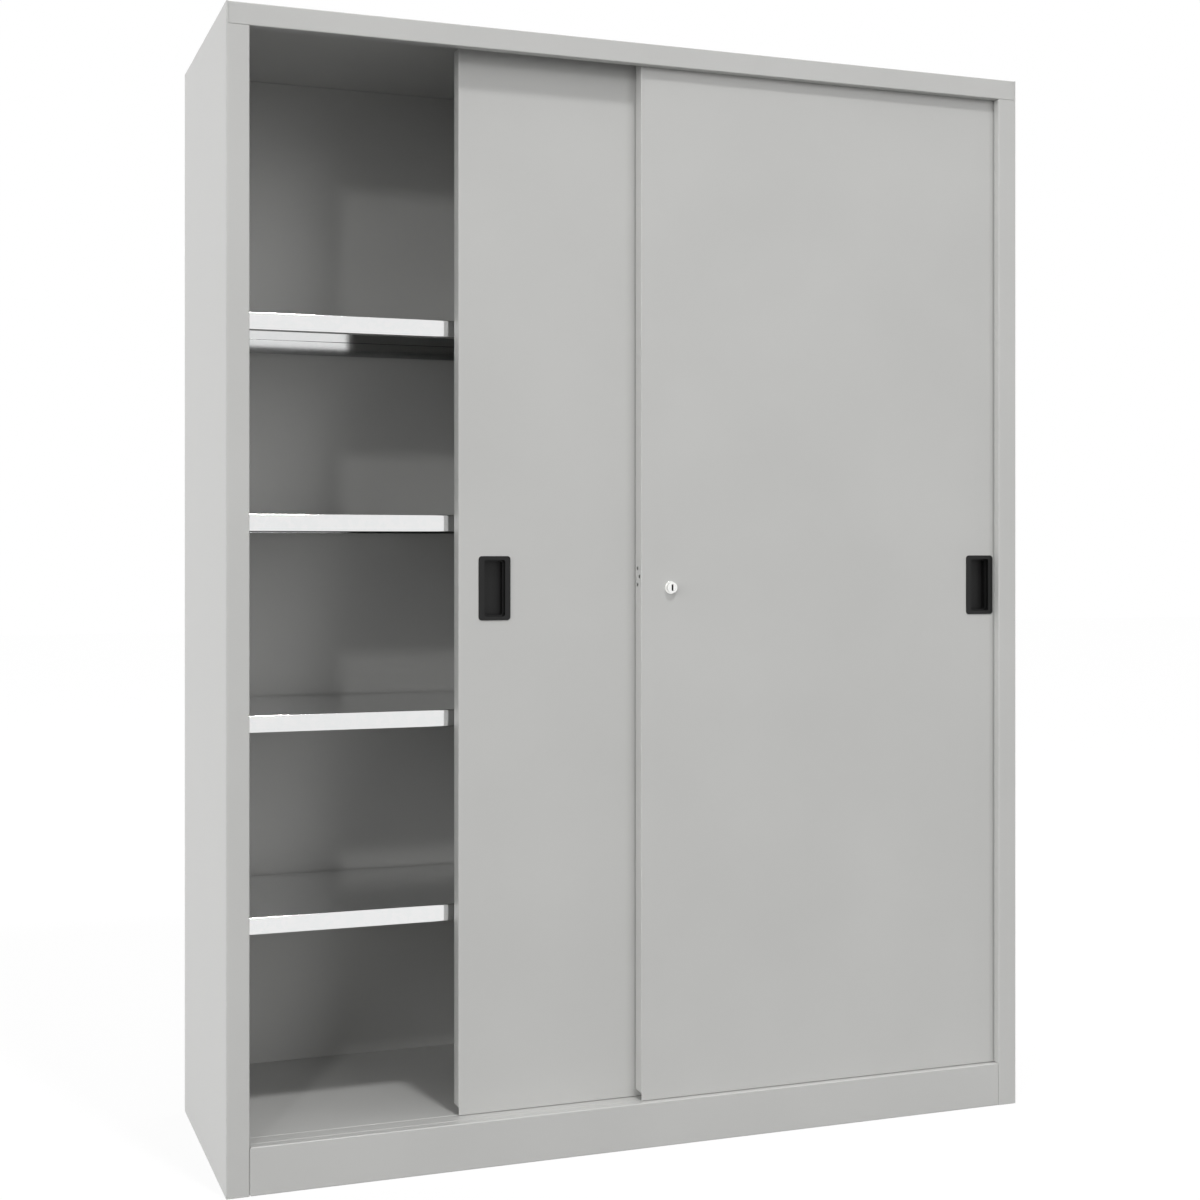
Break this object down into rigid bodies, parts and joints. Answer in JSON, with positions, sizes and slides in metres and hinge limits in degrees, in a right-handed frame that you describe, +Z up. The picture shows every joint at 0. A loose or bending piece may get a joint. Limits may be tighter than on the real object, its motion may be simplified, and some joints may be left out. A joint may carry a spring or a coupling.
{
  "type": "sliding door cabinet",
  "caption": "Tall sheet steel storage cabinet with two sliding doors, full-width shelves, recessed finger pulls and a push lock.",
  "frame": {"origin": "centre of the base, on the floor", "axes": "+X to the right seen from the front, +Y from the doors towards the back panel, +Z up"},
  "size_m": [1.5, 0.5, 1.955],
  "materials": {
    "painted_steel": "light grey powder coat, fine texture, satin",
    "galvanised_steel": "bright galvanised sheet",
    "zinc_plated_steel": "zinc plated",
    "black_plastic": "moulded ABS, satin black",
    "nickel_plated_brass": "bright nickel plate",
    "nylon": "natural nylon",
    "rubber": "black rubber"
  },
  "bodies": {
    "cabinet": {"back_panel": "painted_steel", "back_rivets": "zinc_plated_steel", "bottom_panel": "painted_steel", "bottom_track": "painted_steel", "corner_plates": "painted_steel", "door_buffers": "rubber", "floor_stiffeners": "painted_steel", "left_front_upright": "painted_steel", "left_rear_upright": "painted_steel", "left_side_panel": "painted_steel", "plinth_front": "painted_steel", "plinth_rear": "painted_steel", "right_front_upright": "painted_steel", "right_rear_upright": "painted_steel", "right_side_panel": "painted_steel", "shelf_1": "galvanised_steel", "shelf_2": "galvanised_steel", "shelf_3": "galvanised_steel", "shelf_4": "galvanised_steel", "shelf_clips": "zinc_plated_steel", "top_guide_front": "galvanised_steel", "top_guide_rear": "galvanised_steel", "top_panel": "painted_steel"},
    "rear_door": {"rear_door_bottom_channel": "zinc_plated_steel", "rear_door_handle_cup": "black_plastic", "rear_door_panel": "painted_steel", "rear_door_roller_axles": "zinc_plated_steel", "rear_door_roller_brackets": "zinc_plated_steel", "rear_door_stiffener": "painted_steel", "rear_door_top_guides": "nylon"},
    "front_door": {"front_door_bottom_channel": "zinc_plated_steel", "front_door_handle_cup": "black_plastic", "front_door_panel": "painted_steel", "front_door_roller_axles": "zinc_plated_steel", "front_door_roller_brackets": "zinc_plated_steel", "front_door_stiffener": "painted_steel", "front_door_top_guides": "nylon", "lock_end_cap": "nickel_plated_brass", "lock_housing": "nickel_plated_brass", "lock_nut": "nickel_plated_brass", "lock_spring": "zinc_plated_steel"},
    "lock_cylinder": {"lock_bolt": "nickel_plated_brass", "lock_cylinder": "nickel_plated_brass"},
    "lock_plug": {"lock_plug": "nickel_plated_brass"},
    "front_door_roller_left": {"front_door_roller_left": "nylon"},
    "front_door_roller_right": {"front_door_roller_right": "nylon"},
    "rear_door_roller_left": {"rear_door_roller_left": "nylon"},
    "rear_door_roller_right": {"rear_door_roller_right": "nylon"}
  },
  "joints": [
    {"name": "rear_door_slide", "type": "slide", "parent": "cabinet", "child": "rear_door", "axis": [1, 0, 0], "range_m": [-0.4025, 0.3015]},
    {"name": "front_door_slide", "type": "slide", "parent": "cabinet", "child": "front_door", "axis": [1, 0, 0], "range_m": [-0.731, 0]},
    {"name": "lock_push", "type": "slide", "parent": "front_door", "child": "lock_cylinder", "axis": [0, 1, 0], "range_m": [0, 0.006], "stiffness_N_per_m": 300, "deforming": ["lock_spring"]},
    {"name": "lock_turn", "type": "hinge", "parent": "lock_cylinder", "child": "lock_plug", "pos_m": [0.0422, -0.241, 0.9915], "axis": [0, 1, 0], "range_deg": [0, 90]},
    {"name": "front_door_roller_left_spin", "type": "hinge", "parent": "front_door", "child": "front_door_roller_left", "pos_m": [0.0755, -0.218, 0.0893], "axis": [0, 1, 0], "range_deg": [-3813, 5]},
    {"name": "front_door_roller_right_spin", "type": "hinge", "parent": "front_door", "child": "front_door_roller_right", "pos_m": [0.6555, -0.218, 0.0893], "axis": [0, 1, 0], "range_deg": [-3813, 5]},
    {"name": "rear_door_roller_left_spin", "type": "hinge", "parent": "rear_door", "child": "rear_door_roller_left", "pos_m": [-0.253, -0.187, 0.0893], "axis": [0, 1, 0], "range_deg": [-2102, 1576]},
    {"name": "rear_door_roller_right_spin", "type": "hinge", "parent": "rear_door", "child": "rear_door_roller_right", "pos_m": [0.354, -0.187, 0.0893], "axis": [0, 1, 0], "range_deg": [-2102, 1576]}
  ],
  "couplings": [
    {"joint": "front_door_roller_left_spin", "follows": "front_door_slide", "rad_per_m": 90.909},
    {"joint": "front_door_roller_right_spin", "follows": "front_door_slide", "rad_per_m": 90.909},
    {"joint": "rear_door_roller_left_spin", "follows": "rear_door_slide", "rad_per_m": 90.909},
    {"joint": "rear_door_roller_right_spin", "follows": "rear_door_slide", "rad_per_m": 90.909}
  ]
}
